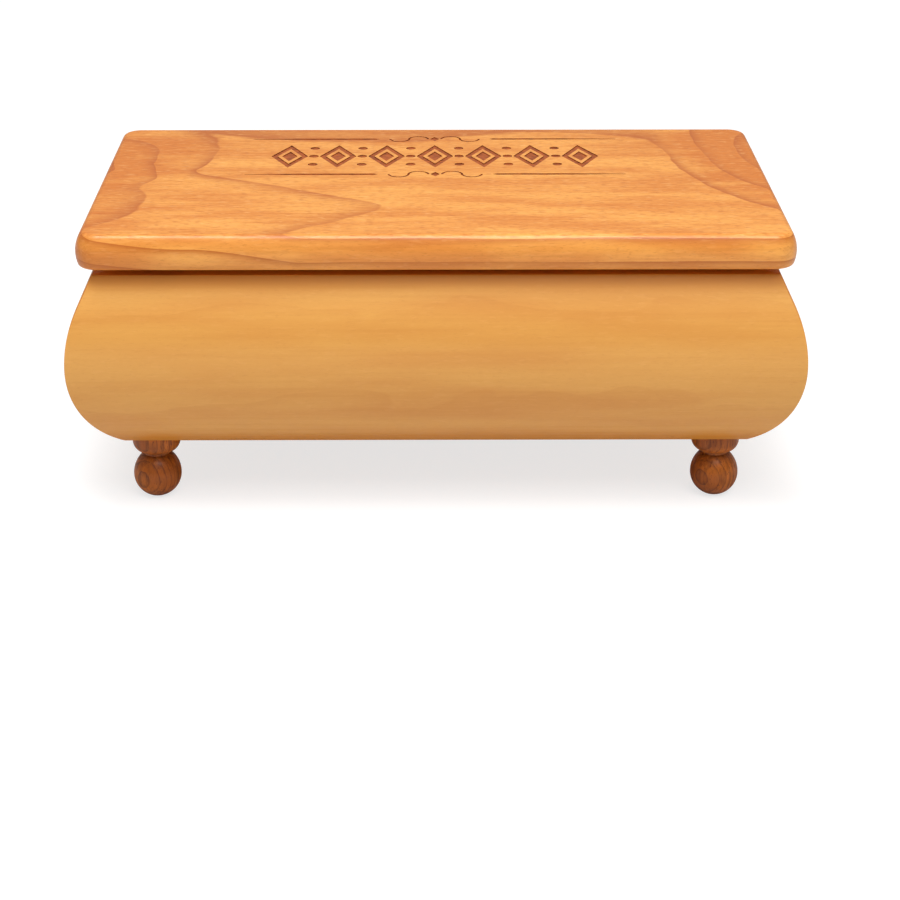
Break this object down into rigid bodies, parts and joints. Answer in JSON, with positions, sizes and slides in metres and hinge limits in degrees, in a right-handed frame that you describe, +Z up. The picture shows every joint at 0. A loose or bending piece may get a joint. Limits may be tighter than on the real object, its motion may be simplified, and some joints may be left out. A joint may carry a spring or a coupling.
{
  "type": "keepsake box",
  "caption": "Oblong wooden keepsake box with bulging mitred sides, a flat hinged lid with an engraved band, turned ball feet and a felt-lined inside.",
  "frame": {"origin": "on the floor under the middle of the box", "axes": "+X along the length to the right, +Y towards the hinges at the back, +Z up"},
  "size_m": [0.2466, 0.1456, 0.1009],
  "materials": {
    "light_wood": "satin lacquered light hardwood",
    "dark_wood": "satin lacquered stained hardwood, turned",
    "felt": "short-pile felt on card",
    "brass": "polished brass plate",
    "screw_steel": "zinc plated steel"
  },
  "bodies": {
    "base": {"front_side": "light_wood", "rear_side": "light_wood", "left_side": "light_wood", "right_side": "light_wood", "bottom_board": "light_wood", "foot_front_left": "dark_wood", "foot_front_right": "dark_wood", "foot_rear_left": "dark_wood", "foot_rear_right": "dark_wood", "foot_screws": "screw_steel", "floor_lining": "felt", "front_lining": "felt", "rear_lining": "felt", "left_lining": "felt", "right_lining": "felt", "hinge_left_base_leaf": "brass", "hinge_right_base_leaf": "brass", "hinge_left_pin": "brass", "hinge_right_pin": "brass", "hinge_left_base_screws": "brass", "hinge_right_base_screws": "brass", "rest_peg_left": "dark_wood", "rest_peg_right": "dark_wood"},
    "lid": {"lid_panel": "light_wood", "hinge_left_lid_leaf": "brass", "hinge_right_lid_leaf": "brass", "hinge_left_lid_screws": "brass", "hinge_right_lid_screws": "brass"}
  },
  "joints": [
    {"name": "lid_hinge", "type": "hinge", "parent": "base", "child": "lid", "pos_m": [0, 0.0643, 0.0875], "axis": [-1, 0, 0], "range_deg": [0, 102]}
  ]
}
